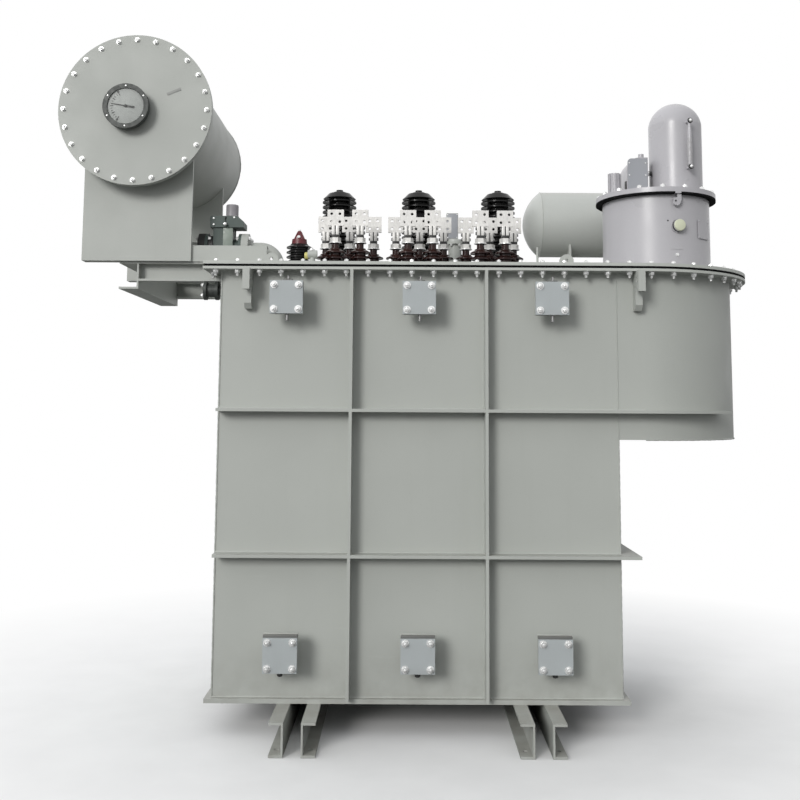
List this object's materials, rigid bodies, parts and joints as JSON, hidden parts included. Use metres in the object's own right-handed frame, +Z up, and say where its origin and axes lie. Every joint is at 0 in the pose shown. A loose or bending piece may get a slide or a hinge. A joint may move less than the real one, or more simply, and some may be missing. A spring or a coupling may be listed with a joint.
{
  "type": "rectifier transformer",
  "caption": "Oil-filled rectifier transformer on channel skids, with ribbed tank, conservator, bushings on the cover and a domed on-load tap changer over a half-round bay.",
  "frame": {"origin": "centre of the foundation bolt pattern, at floor level under the middle of the tank", "axes": "+X along the tank towards the tap changer, +Y from the front with the low-voltage bushings to the back, +Z up"},
  "size_m": [3.3739, 1.71, 3.199],
  "materials": {
    "tank_paint": "semi-gloss",
    "light_paint": "semi-gloss",
    "tap_changer_paint": "semi-gloss",
    "blank_paint": "satin",
    "gasket_rubber": "matte",
    "dark_casting": "satin",
    "brown_glaze": "gloss",
    "black_glaze": "gloss",
    "terminal_metal": "satin",
    "red_cap": "satin"
  },
  "bodies": {
    "root": {"left_skid": "tank_paint", "right_skid": "tank_paint", "bottom_plate": "tank_paint", "front_wall": "tank_paint", "back_wall": "tank_paint", "left_wall": "tank_paint", "right_wall": "tank_paint", "bay_wall": "tank_paint", "bay_floor": "tank_paint", "wall_uprights": "tank_paint", "wall_rails": "tank_paint", "end_rail": "tank_paint", "bay_rail": "tank_paint", "tank_flange": "tank_paint", "cover_gasket": "gasket_rubber", "tank_cover": "tank_paint", "lifting_lugs": "tank_paint", "cover_ears": "tank_paint", "radiator_necks": "tank_paint", "blanking_plates": "blank_paint", "side_valve": "dark_casting", "conservator_shell": "tank_paint", "conservator_front_cover": "light_paint", "conservator_rear_cover": "light_paint", "oil_gauge": "dark_casting", "saddles": "tank_paint", "saddle_beams": "tank_paint", "bracket_beams": "tank_paint", "bracket_tie": "tank_paint", "gas_relay": "dark_casting", "relay_pipes": "tank_paint", "lv_porcelains": "brown_glaze", "lv_terminals": "terminal_metal", "hv_porcelains": "black_glaze", "hv_terminals": "black_glaze", "neutral_bushing": "black_glaze", "neutral_cap": "red_cap", "vent_turret": "tank_paint", "vent_box": "light_paint", "tap_changer_drum": "tap_changer_paint", "tap_changer_lid": "tap_changer_paint", "drive_dome": "tap_changer_paint", "drive_box": "tap_changer_paint", "small_conservator": "light_paint", "small_conservator_ends": "light_paint", "small_conservator_feet": "tank_paint", "cover_fittings": "tank_paint"}
  },
  "joints": []
}
